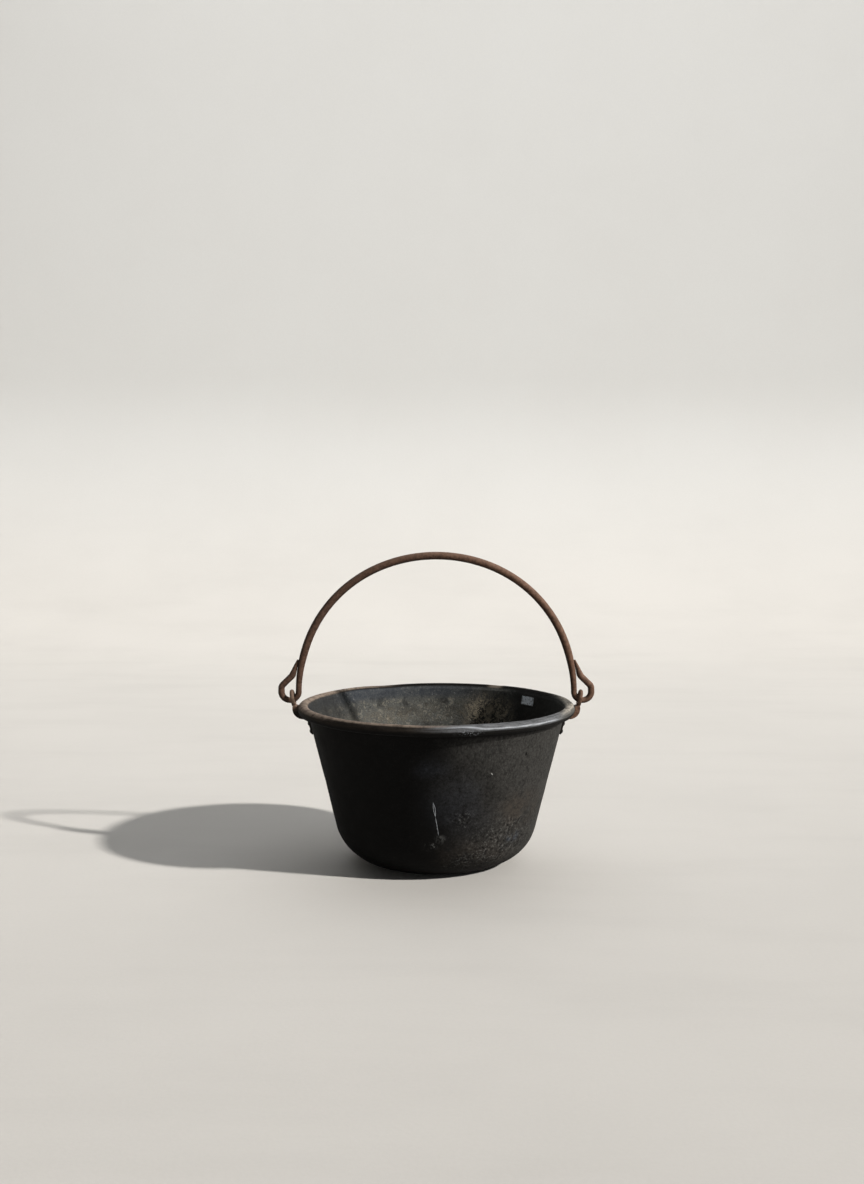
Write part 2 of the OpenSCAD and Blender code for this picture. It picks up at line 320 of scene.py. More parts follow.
def sheet_finish(tones):
    """Blackened sheet: sooty outside, crusted and stained inside, worn on the rolled rim."""
    made = Finish("sooted_sheet")
    x, y, z = made.axes()
    inside, roll, worn = (made.attribute(name) for name in ("inside", "roll", "worn"))
    up = made.facing("Z")
    broad = made.noise(0.10, 3)
    cloud = made.noise(0.034, 4, 0.62)
    patch = made.noise(0.013, 5, 0.66, distortion=0.5)
    grain = made.noise(0.0046, 4, 0.68)
    fine = made.noise(0.0017, 3, 0.6)
    streaks = made.noise(1.0, 3, 0.6, made.stretched(520, 520, 26))
    front = y.band(0.02, -0.02)

    # Outside: painted shade makes it black on the left, the side towards the key light is painted lighter and partly
    # worn greyer, the rear is worn greyer, with a cool film and a burnt brown tint
    # The mask runs along the key light's direction: painted light on the side it falls on, painted shade on the other;
    # the rear patches added below are wear
    toward_key_light = x * 0.94 - y * 0.34
    dry = (toward_key_light + (broad - 0.5) * 0.10).band(0.045, 0.185)
    rear = (y + (broad - 0.5) * 0.16).band(0.060, 0.150)
    dry = dry + rear * (1 - dry) * (0.34 + cloud.band(0.42, 0.60) * 0.24 + patch.band(0.44, 0.58) * 0.26)
    mottle = (grain * 0.5 + fine * 0.3 + patch * 0.35 + cloud * 0.25 - 0.70) * 3.4
    outside = made.mix((dry * 0.84 + mottle * (0.07 + dry * 1.0)).limited(), tones.soot, tones.rubbed_soot_and_light)
    comb = streaks.band(0.48, 0.72) * z.band(0.12, 0.22) * dry
    outside = made.mix(comb * 0.32, outside, tones.crust)
    film = made.spot((0.045, -0.19, 0.135), (0.085, 0.09, 0.080)) + made.spot((-0.01, -0.20, 0.205), (0.05, 0.06, 0.03))
    outside = made.mix((film * broad.band(0.36, 0.56) * (0.35 + mottle * 0.5)).limited(), outside, tones.soot_blue)
    burnt = made.spot((0.139, -0.126, 0.118), (0.070, 0.09, 0.046)) + made.spot((0.075, -0.15, 0.045), (0.115, 0.11, 0.050)) * 0.5
    outside = made.mix((burnt * cloud.band(0.34, 0.56) * (0.50 + mottle * 0.5)).limited(), outside, tones.scorch)
    # Painted shade: the wall darker towards the foot
    outside = made.mix(z.band(0.040, 0.012) * 0.7, outside, tones.deep_soot_and_shade)
    # Painted shadow: a narrow black band on the wall just under the roll
    outside = made.mix(z.band(0.2465, 0.2535) * 0.85, outside, tones.deep_soot_and_shade)

    # Rough, pitted ground at the lower right, with pale specks and dark pits
    rough = made.spot((0.105, -0.135, 0.070), (0.085, 0.09, 0.052)) + made.spot((0.045, -0.18, 0.112), (0.032, 0.04, 0.022))
    rough = (rough + made.spot((0.060, -0.14, 0.036), (0.075, 0.08, 0.028)) * 0.8).limited()
    specks = rough * (grain * 0.7 + fine * 0.3).band(0.50, 0.68) * patch.band(0.36, 0.58)
    outside = made.mix(specks * 0.15, outside, tones.ash)
    pits = rough * grain.band(0.46, 0.36) + made.spot((0.1466, -0.1522, 0.2139), (0.0026, 0.004, 0.0042)) * 2
    outside = made.mix((pits * 0.9).limited(), outside, tones.deep_soot_and_shade)
    blotch = made.spot((0.126, -0.122, 0.068), (0.024, 0.03, 0.016)) * patch.band(0.42, 0.58)
    outside = made.mix(blotch * 0.55, outside, tones.crust_blue)

    # One long scratch, split at its top, with a smear and a scuff below it, and a single pale chip
    lean = x + 0.0050 - (0.1431 - z) * 0.150 + (made.noise(0.012, 2) - 0.5) * 0.0016
    split = z.band(0.117, 0.128) * z.band(0.1445, 0.134)
    scratch = abs(abs(lean) - split * 0.0013).band(0.00052, 0.00012) * z.band(0.084, 0.090) * z.band(0.1445, 0.140)
    scratch = scratch * (0.35 + grain.band(0.36, 0.50) * 0.65) * front
    smear = made.spot((0.006, -0.178, 0.078), (0.012, 0.02, 0.012)) * patch.band(0.44, 0.60) * 0.10
    scuff = made.spot((-0.010, -0.175, 0.065), (0.016, 0.02, 0.010)) * patch.band(0.46, 0.60) * grain.band(0.44, 0.6) * 0.25
    nick = (x - 0.0899) + (z - 0.1875) * 0.75
    chip = made.spot((0.0899, -0.1841, 0.1875), (0.0028, 0.004, 0.0034)) * abs(nick).band(0.0011, 0.0004) * 0.8
    outside = made.mix((smear + scuff + chip).limited(), outside, tones.ash)
    outside = made.mix(scratch * 0.85, outside, tones.polish_and_highlight)

    # Inside: grey crust, cooler under the rim, with pale grains and one patch of tan and char that is painted lighter
    # where shadow falls on it; the right part is painted shade
    flecks = (grain * 0.6 + fine * 0.4 - 0.5) * 3.2
    lining = made.mix((cloud.band(0.38, 0.66) * 0.50 - flecks * 0.8).limited(), tones.crust, tones.dark_crust_and_shade)
    blots = (patch * 0.65 + grain * 0.35).band(0.53, 0.60)
    lining = made.mix(blots * 0.8, lining, tones.dark_crust_and_shade)
    chalk = (patch * 0.50 + grain * 0.50).band(0.475, 0.42) * z.band(0.262, 0.245)
    lining = made.mix(chalk * 0.75, lining, tones.crust_pale)
    cool = z.band(0.243, 0.258) * x.band(0.12, 0.02) * 0.8 + x.band(-0.08, -0.2) * 0.15
    lining = made.mix((cool * broad.band(0.30, 0.55) * (0.75 - flecks * 0.6)).limited(), lining, tones.crust_blue)
    tan_low = made.spot((-0.15, 0.15, 0.212), (0.085, 0.09, 0.030)) + made.spot((-0.01, 0.21, 0.222), (0.06, 0.06, 0.026))
    tan_low = tan_low * 0.45 + made.spot((-0.085, 0.19, 0.214), (0.060, 0.06, 0.030)) * 0.7
    lining = made.mix((tan_low * patch.band(0.42, 0.60) * (0.35 + flecks * 0.6)).limited(), lining, tones.ochre)
    burn = made.spot((0.092, 0.185, 0.222), (0.085, 0.085, 0.050))
    char = burn * (patch * 0.7 + grain * 0.3).band(0.53, 0.47)
    lining = made.mix(char * 0.9, lining, tones.dark_crust_and_shade)
    scrawl = abs(made.noise(0.016, 4, 0.70, distortion=1.4) - 0.5).band(0.045, 0.006)
    tanned = burn * (scrawl * 1.0 + patch.band(0.48, 0.60) * 0.6 + grain.band(0.52, 0.64) * 0.5)
    # Painted light: beyond x 0.045, inside the rim's shadow, the stains are painted paler as if lit
    lining = made.mix(tanned.limited() * (0.28 + x.band(0.045, 0.080) * 0.72), lining, tones.ochre)
    grains = (grain.band(0.60, 0.72) * cloud.band(0.60, 0.44) + fine.band(0.64, 0.74) * 0.4).limited()
    lining = made.mix(grains * 0.34, lining, tones.ash)
    lining = made.mix(x.band(-0.145, -0.190) * (0.55 + cloud * 0.4), lining, tones.dark_crust_and_shade)
    # Painted shade: the right part of the inside, where the key light doesn't reach, painted dark
    painted_shadow_right = x.band(0.132, 0.156) * (0.75 + broad * 0.3)
    lining = made.mix(painted_shadow_right.limited(), lining, tones.dark_crust_and_shade)

    # Rolled rim: tan where it is worn along the crest at the left, partly a painted highlight; polished at the front
    # right, with a painted highlight line along it; painted shade makes it black below
    left = (x + y * 0.25 + 0.055).band(0.055, -0.055)
    far_left = x.band(-0.150, -0.215)
    # Tan along the upward faces of the crest: worn metal, partly a painted highlight
    crest = up.band(0.64, 0.92) * (1 - far_left) + up.band(0.20, 0.75) * far_left
    tan = (roll * crest * left * (0.45 + patch.band(0.34, 0.56) * 0.55) + worn * 0.6).limited()
    right = (1 - left) * y.band(0.10, 0.01)
    drawn = made.noise(1.0, 4, 0.65, made.stretched(40, 40, 900))
    rubbed = roll * right * up.band(-0.25, 0.15) * (0.45 + drawn.band(0.38, 0.60) * 0.55)
    # Painted highlight: a thin pale line along the roll's upper face at the front right
    line = abs(up - 0.74 + x.band(0.045, 0.085) * 0.48).band(0.20, 0.05)
    edge = roll * right * line * x.band(-0.03, 0.04) * x.band(0.215, 0.180) * (0.4 + drawn.band(0.36, 0.56) * 0.6)
    flake = made.spot((0.052, -0.233, 0.262), (0.030, 0.03, 0.008)) * roll * (grain * 0.6 + fine * 0.4).band(0.52, 0.62) * 0.35
    body = made.mix(inside, outside, lining)
    film = roll * up.band(-0.50, 0.25) * (1 - right) * y.band(0.12, -0.02)
    body = made.mix(film * (drawn * 0.22 - 0.04), body, tones.bare)
    # Painted shade: the roll's downward faces painted black
    body = made.mix(roll * up.band(-0.35, -0.8) * 0.7, body, tones.deep_soot_and_shade)
    bright = made.mix(x.band(0.195, 0.225) * 0.55, tones.steel, tones.crust_pale)
    bright = made.mix(x.band(0.200, 0.232) * up.band(0.45, 0.85), bright, tones.bare_pale)
    rubbed = rubbed * (0.95 - x.band(0.190, 0.225) * up.band(0.60, 0.25) * 0.45)
    body = made.mix(rubbed.limited(), body, bright)
    body = made.mix((edge * 0.55 + flake).limited(), body, tones.polish_and_highlight)
    body = made.mix(tan * 0.9, body, tones.bare)
    body = made.mix(worn * 0.25, body, tones.crust_pale)
    body = made.tint(body, 0.20 + grain * 0.90 + fine * 0.70)

    polish = (rubbed * 0.3 + edge * 0.4).limited()
    roughness = 0.68 + cloud * 0.14 + grain * 0.12 - polish * 0.34 - tan * 0.10
    metal = polish * 0.25
    height = cloud * 0.30 + grain * 0.40 + fine * 0.20 + patch * 0.30
    height = height - (pits * 0.8).limited() - scratch * 0.3 + burn * inside * patch * 0.4
    height = height + made.cells(0.0042).band(0.0, 0.5) * 0.18 * (1 - roll * 0.6)
    return made.finish(body, roughness.limited(), metal, height, 0.0010, 0.08)


def iron_finish(name, tone, pale, dark, wear=0.5, soot=None, soot_top=0.0, shaded=0.0):
    """Forged iron under dry rust: paler above, from dry rust and painted light, darker below from painted shade, darker
    in the pits, black with soot under a height.
    """
    made = Finish(name)
    cloud = made.noise(0.030, 4, 0.6)
    patch = made.noise(0.0055, 5, 0.66, distortion=0.6)
    grain = made.noise(0.0020, 4, 0.64)
    fine = made.noise(0.0008, 3, 0.6)
    up = made.facing("Z")
    body = made.mix(patch.band(0.42, 0.68) * 0.7, tone, dark)
    body = made.mix(patch.band(0.50, 0.34) * cloud.band(0.40, 0.62) * 0.5, body, pale)
    # Painted light: faces turned up are paler, partly dry rust
    lit = up.band(-0.2, 0.95) * (0.35 + cloud * 0.5)
    body = made.mix((lit * wear).limited(), body, pale)
    # Painted shade: faces turned down are darker
    body = made.mix(up.band(0.05, -0.85) * 0.75, body, dark)
    body = made.mix(grain.band(0.56, 0.68) * 0.45, body, dark)
    body = made.mix(fine.band(0.64, 0.74) * 0.35, body, pale)
    if soot:
        z = made.axes()[2]
        body = made.mix((z + (cloud - 0.5) * 0.02).band(soot_top + 0.004, soot_top - 0.004) * 0.92, body, soot)
    if shaded:
        # Painted shade: darker on the left half and on faces turned left, away from the key light, with a dark patch at
        # the lower left of the left bow
        x, _, z = made.axes()
        body = made.mix(x.band(0.18, -0.18) * 0.40 * shaded, body, dark)
        body = made.mix((x * 0.8 + z + cloud * 0.01).band(0.083, 0.068) * x.band(-0.22, -0.24) * 0.9, body, dark)
        body = made.mix(made.facing("X").band(-0.15, -0.85) * 0.85 * shaded, body, dark)
    scale = made.cells(0.0065, "SMOOTH_F1").band(0.25, 0.55)
    body = made.tint(body, 0.66 + grain * 0.50 + scale * 0.12)
    roughness = 0.62 + patch * 0.20 + grain * 0.16 - lit * 0.08
    height = patch * 0.5 + grain * 0.45 + fine * 0.2 + scale * 0.25
    return made.finish(body, roughness.limited(), (1 - patch.band(0.30, 0.5)) * 0.2, height, 0.0008, 0.25)


def paper_finish(tones):
    """Bare remnant of a paper tag: faded, mottled and rubbed at the edges."""
    made = Finish("old_paper")
    patch = made.noise(0.0042, 4, 0.6)
    grain = made.noise(0.0009, 4, 0.65)
    fibre = made.noise(1.0, 3, 0.6, made.stretched(2600, 2600, 500))
    edge = made.attribute("edge")
    body = made.mix(patch.band(0.46, 0.60) * 0.8, tones.paper, (0.22, 0.25, 0.28))
    body = made.mix(grain.band(0.58, 0.7) * 0.4, body, tones.ash)
    body = made.mix(edge * grain.band(0.3, 0.55) * 0.7, body, (0.12, 0.12, 0.12))
    roughness = 0.82 + patch * 0.12
    return made.finish(body, roughness, 0.0, patch * 0.5 + fibre * 0.4 + grain * 0.3, 0.0002, 0.3)


def floor_finish(tones):
    """Pale, matte studio floor with faint clouds and grain."""
    made = Finish("studio_floor")
    cloud = made.noise(0.55, 4, 0.55)
    smear = made.noise(1.0, 4, 0.6, made.stretched(1.4, 6.0, 1.0))
    grain = made.noise(0.006, 4, 0.6)
    dark = tuple(0.86 * c for c in tones.floor)
    body = made.mix(cloud.band(0.35, 0.70) * 0.25 + smear.band(0.45, 0.7) * 0.20, tones.floor, dark)
    x, y, z = made.axes()
    body = made.mix(z.band(0.05, 0.9) * (1 - cloud * 0.3), body, tones.sweep)
    body = made.tint(body, (x * x + y * y).band(16.0, 100.0) * -0.45 + 1)
    # The far sides that the key light can't reach get a soft light of their own
    unlit = ((x + 4.285) ** 2 + (y - 1.908) ** 2).band(12.8**2, 13.4**2)
    glow = made.tint(made.mix(0.0, tones.sweep, tones.sweep), unlit * (0.60 - z.band(0.0, 1.1) * 0.18))
    body = made.tint(body, 0.965 + grain * 0.06)
    return made.finish(body, 0.62 + cloud * 0.12, 0.0, grain * 0.5 + cloud * 0.3, 0.0003, 0.3, glow)


# Mesh tools


def smooth(values, low, high):
    """0 below low, 1 above high and smooth between. High may lie below low."""
    t = np.clip((values - low) / (high - low), 0, 1)
    return t * t * (3 - 2 * t)


def bumps(points, size, seed):
    """Smooth noise from about -1 to 1 at each point, with bumps of about one size."""
    shift = Vector((7.31, 3.17, 5.77)) * seed
    flat = points.reshape(-1, 3) / size
    return np.array([noise.noise(Vector(p) + shift) for p in flat]).reshape(points.shape[:-1]) * 1.6


def facets(points, size, seed):
    """Hammer marks: 0 on the ridges between them and 1 in their flat middles."""
    shift = Vector((3.9, 8.3, 1.7)) * seed
    flat = points.reshape(-1, 3) / size
    near = [noise.voronoi(Vector(p) + shift)[0] for p in flat]
    return np.array([1 - min(1.0, (d[1] - d[0]) * 1.4) for d in near]).reshape(points.shape[:-1])


def add_piece(name, mesh, body, material, nodes=()):
    """Puts a mesh in the scene as a piece that rides on a body and may stand for CAD nodes."""
    piece = bpy.data.objects.new(name, mesh)
    bpy.context.scene.collection.objects.link(piece)
    mesh.materials.clear()
    mesh.materials.append(material)
    mesh.shade_smooth()
    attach(piece, body)
    if nodes:
        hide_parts(*nodes)
    return piece


def ring_mesh(name, rings, start, end):
    """Closed mesh through rings of points, with a fan to a point at either end."""
    count, around = rings.shape[:2]
    points = [*map(tuple, rings.reshape(-1, 3)), tuple(start), tuple(end)]
    first, last = count * around, count * around + 1
    turn = [(j, (j + 1) % around) for j in range(around)]
    faces = [
        (i * around + a, i * around + b, (i + 1) * around + b, (i + 1) * around + a)
        for i in range(count - 1)
        for a, b in turn
    ]
    faces += [(first, b, a) for a, b in turn]
    faces += [(last, (count - 1) * around + a, (count - 1) * around + b) for a, b in turn]
    mesh = bpy.data.meshes.new(name)
    mesh.from_pydata(points, [], faces)
    made = bmesh.new()
    made.from_mesh(mesh)
    bmesh.ops.recalc_face_normals(made, faces=made.faces)
    made.to_mesh(mesh)
    made.free()
    return mesh


def give(mesh, name, values):
    """Stores a number at each vertex, for the shader to read."""
    layer = mesh.attributes.new(name, "FLOAT", "POINT")
    layer.data.foreach_set("value", np.asarray(values, np.float32))


def steps(first, last, size):
    """Even steps from first to last, at most about one size long."""
    return np.linspace(first, last, max(2, math.ceil(abs(last - first) / size) + 1))


# Sheet


class SheetSection:
    """Section of the sheet as (radius, height), from under the bottom, up the outside, over the
    wire and back down the inside to the middle of the floor."""

    def __init__(self, sizes):
        s = self.sizes = sizes
        self.out = np.array([math.cos(s.lean), -math.sin(s.lean)])
        self.up = np.array([math.sin(s.lean), math.cos(s.lean)])
        self.roll_in = s.wire + s.play
        self.roll_out = self.roll_in + s.thickness
        self.roll_mid = np.array([s.rim_radius - self.roll_out, s.height - self.roll_out])
        reach = s.corner + self.roll_in
        self.wall = (self.roll_mid[1] - s.corner - reach * self.out[1]) / self.up[1]
        self.corner_mid = self.roll_mid - reach * self.out - self.wall * self.up
        self.points, self.normals, self.shift, self.inside, self.roll = [], [], [], [], []

    def put(self, point, normal, shift, inside, roll):
        self.points.append(point)
        self.normals.append(normal)
        self.shift.append(shift)
        self.inside.append(inside)
        self.roll.append(roll)

    def face(self, thick, downward):
        """One face of bottom, corner and wall. The sheet's outward side is its shift."""
        s = self.sizes
        flat = steps(4 * MM, self.corner_mid[0], 8 * MM)
        bend = steps(-math.pi / 2, -s.lean, 4 * MM / s.corner)[1:]
        rise = steps(0, self.wall, 3.6 * MM)[1:]
        inside = 1.0 if thick else 0.0
        sign = -1 if thick else 1
        rows = [(np.array([r, thick]), np.array([0.0, -1.0])) for r in flat]
        for a in bend:
            ray = np.array([math.cos(a), math.sin(a)])
            rows.append((self.corner_mid + (s.corner - thick) * ray, ray))
        for h in rise:
            rows.append((self.corner_mid + (s.corner - thick) * self.out + h * self.up, self.out))
        for point, away in reversed(rows) if downward else rows:
            self.put(point, sign * away, away, inside, 0.0)

    def arc(self, radius, first, last, sign):
        """One face of the roll. Its inner side turns into the lining past the crest."""
        for a in steps(first, last, 1.0 * MM / radius):
            ray = math.cos(a) * self.out + math.sin(a) * self.up
            inside = float(smooth(np.array(a), math.radians(150), math.radians(172)))
            roll = float(smooth(np.array(a), math.radians(176), math.radians(150)))
            self.put(self.roll_mid + radius * ray, sign * ray, ray, inside, roll)

    def build(self):
        end = self.sizes.slit - math.pi
        self.face(0.0, downward=False)
        self.arc(self.roll_in, math.pi * 0.995, end, -1)
        self.arc(self.roll_out, end, math.pi, 1)
        self.face(self.sizes.thickness, downward=True)
        return [np.array(rows) for rows in (self.points, self.normals, self.shift, self.inside, self.roll)]


# Dents as direction from the axis in degrees, height, radius and depth
DENTS = (
    (-76, 0.110, 0.024, 0.0009),
    (-44, 0.070, 0.020, 0.0008),
    (-118, 0.165, 0.034, 0.0010),
    (-20, 0.150, 0.030, 0.0007),
    (28, 0.095, 0.036, 0.0011),
    (96, 0.170, 0.040, 0.0012),
    (152, 0.085, 0.028, 0.0009),
    (-160, 0.190, 0.026, 0.0007),
)


class KETTLE_OT_sheet(Operator):
    """Raise the sheet: bottom, flared wall and the rim rolled over its wire"""

    bl_idname = "kettle.sheet"
    bl_label = "Sheet"

    def execute(self, context):
        sizes = context.scene.kettle_sheet
        section = SheetSection(sizes)
        points, normals, shifts, inside, roll = section.build()
        turn = np.arange(sizes.segments) * math.tau / sizes.segments
        ray = np.stack([np.cos(turn), np.sin(turn), 0 * turn], axis=-1)
        up = np.array([0.0, 0.0, 1.0])

        def revolve(rows):
            return rows[:, None, :1] * ray + rows[:, None, 1:] * up

        place, normal, shift = revolve(points), revolve(normals), revolve(shifts)
        middle = place - normal * sizes.thickness / 2
        height = middle[..., 2]

        # The ears' seats, the roll and the foot stay true
        beside_ears = smooth(np.abs(np.sin(turn)), 0.09, 0.24)[None, :]
        clear = beside_ears + (1 - beside_ears) * smooth(height, 0.19, 0.15)
        clear = clear * smooth(height, section.roll_mid[1] - 0.006, section.roll_mid[1] - 0.030)
        clear = clear * smooth(height, 0.004, 0.03) * (1 - roll[:, None])
        depth = sizes.swell * bumps(middle, 0.085, 1) + sizes.hammer * bumps(middle, 0.021, 2)
        depth = depth - 0.6 * sizes.hammer * facets(middle, 0.026, 3)
        for degrees, dent_z, radius, sunk in DENTS:
            off = (turn - math.radians(degrees) + math.pi) % math.tau - math.pi
            across = off[None, :] * np.hypot(middle[..., 0], middle[..., 1])
            far = (across**2 + (height - dent_z) ** 2) / radius**2
            depth = depth - sunk * np.exp(-far)
        place = place + shift * (clear * depth)[..., None]

        # The rim wanders a little and dips where it was knocked
        high = smooth(height, section.roll_mid[1] - 0.07, section.roll_mid[1]) * beside_ears
        knock = np.exp(-((((turn - math.radians(115) + math.pi) % math.tau - math.pi) / 0.13) ** 2))
        lift = 0.5 * np.sin(2 * turn + 0.7) + 0.35 * np.sin(5 * turn + 1.9) + 0.3 * np.sin(9 * turn) - 1.6 * knock
        widen = 0.6 * np.sin(3 * turn + 2.2) + 0.4 * np.sin(7 * turn + 0.4) - 0.6
        place = place + up * (high * lift * sizes.wave)[..., None] + ray * (high * widen * sizes.wave)[..., None]

        # A worn crescent on the rear rim, and small flats along the roll
        off = (turn - math.radians(60.5) + math.pi) % math.tau - math.pi
        crest = smooth(normal[..., 2], 0.1, 0.8) * roll[:, None]
        worn = crest * np.exp(-((off / 0.060) ** 4))
        flats = roll[:, None] * facets(place, 0.017, 5) * beside_ears
        place = place - normal * (worn * 0.5 * MM + flats * 0.22 * MM)[..., None]

        mesh = ring_mesh("kettle_sheet", place, (0, 0, 0), (0, 0, sizes.thickness))
        around = np.ones(sizes.segments)
        give(mesh, "inside", [*np.outer(inside, around).ravel(), 0.0, 1.0])
        give(mesh, "roll", [*np.outer(roll, around).ravel(), 0.0, 0.0])
        give(mesh, "worn", [*worn.ravel(), 0.0, 0.0])
        material = sheet_finish(context.scene.kettle_colours)
        add_piece("kettle_sheet", mesh, "kettle", material, ["kettle_body"])
        return {"FINISHED"}


class KETTLE_OT_wire(Operator):
    """Give the wire inside the roll its iron finish"""

    bl_idname = "kettle.wire"
    bl_label = "Rim wire"

    def execute(self, context):
        tones = context.scene.kettle_colours
        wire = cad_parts["rim_wire"]
        wire.data.materials.clear()
        wire.data.materials.append(iron_finish("wire_iron", tones.dark_iron_and_shade, tones.rust, tones.soot))
        return {"FINISHED"}


class KETTLE_OT_paper(Operator):
    """Stick the bare remnant of a paper tag inside the wall"""

    bl_idname = "kettle.paper"
    bl_label = "Paper remnant"

    def execute(self, context):
        wall = bpy.data.objects.get("kettle_sheet")
        if wall is None:
            raise RuntimeError("The paper remnant needs the sheet, so the sheet comes first")
        context.view_layer.update()
        wide, tall, across, along = 31 * MM, 15.5 * MM, 26, 18
        top, facing, reach = 263.0 * MM, math.radians(39.2), 0.21
        made = bmesh.new()
        edge = made.verts.layers.float.new("edge")
        rows = []
        for j in range(along + 1):
            rows.append([])
            for i in range(across + 1):
                u, v = i / across - 0.5, j / along - 0.5
                rim = max(abs(u), abs(v)) * 2
                tear = noise.noise(Vector((u * 9, v * 9, 3.3))) * 0.05 * smooth(rim, 0.8, 1.0)
                turn = facing - u * (1 + tear) * wide / reach
                away = Vector((math.cos(turn), math.sin(turn), 0))
                start = Vector((0, 0, top - (0.5 - v * (1 + tear)) * tall))
                found, hit, _, _ = wall.ray_cast(start, away)
                if not found:
                    raise RuntimeError("The paper remnant misses the wall")
                lift = 0.30 * MM + 0.20 * MM * (noise.noise(Vector((u * 4, v * 4, 9.1))) + 0.5)
                lift = lift + 0.9 * MM * smooth(u + v, 0.66, 1.0)
                vert = made.verts.new(hit - away * lift)
                vert[edge] = smooth(rim, 0.82, 1.0)
                rows[-1].append(vert)
        for j in range(along):
            for i in range(across):
                made.faces.new((rows[j][i], rows[j][i + 1], rows[j + 1][i + 1], rows[j + 1][i]))
        bmesh.ops.recalc_face_normals(made, faces=made.faces)
        mesh = bpy.data.meshes.new("paper_remnant")
        made.to_mesh(mesh)
        made.free()
        piece = add_piece(
            "paper_remnant", mesh, "kettle", paper_finish(context.scene.kettle_colours)
        )
        skin = piece.modifiers.new("Paper", "SOLIDIFY")
        skin.thickness = 0.16 * MM
        skin.offset = 0
        return {"FINISHED"}


# Ears and rivets


def forged_copy(node, name, sizes, seed):
    """Mesh of a CAD node drawn again with rubbed edges, hammer marks and pits, all inside the node."""
    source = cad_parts[node].data.copy()
    draft = bpy.data.objects.new(name + "_draft", source)
    bpy.context.scene.collection.objects.link(draft)
    cells = draft.modifiers.new("Forge", "REMESH")
    cells.mode = "VOXEL"
    cells.voxel_size = sizes.grid
    cells.adaptivity = 0
    rub = draft.modifiers.new("Rub", "SMOOTH")
    rub.factor = 0.5
    rub.iterations = sizes.rounds
    evaluated = draft.evaluated_get(bpy.context.evaluated_depsgraph_get())
    mesh = bpy.data.meshes.new_from_object(evaluated)
    mesh.name = name
    bpy.data.objects.remove(draft)
    count = len(mesh.vertices)
    place, normal = np.empty(count * 3), np.empty(count * 3)
    mesh.vertices.foreach_get("co", place)
    mesh.vertices.foreach_get("normal", normal)
    place, normal = place.reshape(-1, 3), normal.reshape(-1, 3)
    sunk = sizes.dents * (0.45 * facets(place, 0.0075, seed) + 0.35 * (1 + bumps(place, 0.012, seed)))
    sunk = sunk + sizes.pits * (1 + bumps(place, 0.0021, seed + 1))
    mesh.vertices.foreach_set("co", (place - normal * sunk[:, None]).ravel())
    mesh.update()
    return mesh


class KETTLE_OT_ears(Operator):
    """Forge the two ears round the rim, each with its eye and riveted strap"""

    bl_idname = "kettle.ears"
    bl_label = "Ears"

    def execute(self, context):
        sizes, tones = context.scene.kettle_iron, context.scene.kettle_colours
        finishes = {
            "left": iron_finish(
                "left_ear_iron", tones.ear_dust, tones.dry_rust_and_light, tones.dark_iron_and_shade, 0.5, tones.soot, 0.264
            ),
            "right": iron_finish(
                "right_ear_iron", tones.rust, tones.dry_rust_and_light, tones.dark_iron_and_shade, 0.4, tones.soot, 0.248
            ),
        }
        for seed, side in enumerate(SIDES):
            node = side + "_ear"
            mesh = forged_copy(node, node + "_forged", sizes, 11 + seed * 5)
            add_piece(node + "_forged", mesh, "kettle", finishes[side], [node])
        return {"FINISHED"}


class KETTLE_OT_rivets(Operator):
    """Drive the rivets: a round hammered head outside and a flattened one inside"""

    bl_idname = "kettle.rivets"
    bl_label = "Rivets"

    def execute(self, context):
        sizes, tones = context.scene.kettle_iron, context.scene.kettle_colours
        section = SheetSection(context.scene.kettle_sheet)
        material = iron_finish("rivet_iron", tones.soot, tones.rubbed_soot_and_light, tones.deep_soot_and_shade, 0.3)
        out = np.array([section.out[0], 0, section.out[1]])
        up = np.array([section.up[0], 0, section.up[1]])
        across = np.array([0.0, 1.0, 0.0])
        mid = np.array([section.roll_mid[0], 0, section.roll_mid[1]])
        head_at = sizes.seat - section.roll_in + sizes.strap
        tail_at = -section.roll_out - sizes.seat
        profile = [*self.dome(sizes.head, -sizes.tail_rise, tail_at), *self.dome(sizes.head, sizes.head_rise, head_at)]
        profile[len(profile) // 2 : len(profile) // 2] = [(sizes.shank, tail_at), (sizes.shank, head_at)]
        turn = np.arange(48) * math.tau / 48
        seed = 20
        for side, sign in SIDES.items():
            for drop, row in ((sizes.drop, "upper"), (sizes.drop + sizes.pitch, "lower")):
                seed += 3
                place = np.array([
                    mid + along * out + (r * math.cos(a)) * across + (r * math.sin(a) - drop) * up
                    for r, along in profile
                    for a in turn
                ]).reshape(len(profile), len(turn), 3)
                place[..., 0] *= sign
                axis = mid - drop * up
                axis[0] *= sign
                inward = axis - place
                inward = inward - (inward @ (out * [sign, 1, 1]))[..., None] * (out * [sign, 1, 1])
                radius = np.array([r for r, _ in profile])[:, None, None]
                uneven = 0.05 + 0.05 * bumps(place, 0.006, seed) + 0.05 * facets(place, 0.0035, seed)
                place = place + inward * np.where(radius > sizes.shank, uneven[..., None], 0)
                ends = [axis + out * [sign, 1, 1] * at for at in (tail_at - sizes.tail_rise, head_at + sizes.head_rise * 0.97)]
                name = f"{side}_{row}_rivet"
                mesh = ring_mesh(name + "_head", place, *ends)
                add_piece(name + "_head", mesh, "kettle", material, [name])
        return {"FINISHED"}

    @staticmethod
    def dome(radius, rise, at):
        """Profile of a low dome as (radius, place along the rivet), from its tip to its edge and back."""
        ball = (radius**2 + rise**2) / (2 * abs(rise))
        cap = math.asin(min(1.0, radius / ball))
        if abs(rise) > radius:
            cap = math.pi - cap
        arc = [(ball * math.sin(a), at + rise - math.copysign(ball * (1 - math.cos(a)), rise)) for a in np.linspace(0.06, 1, 12) * cap]
        return arc if rise < 0 else arc[::-1]


# Bail


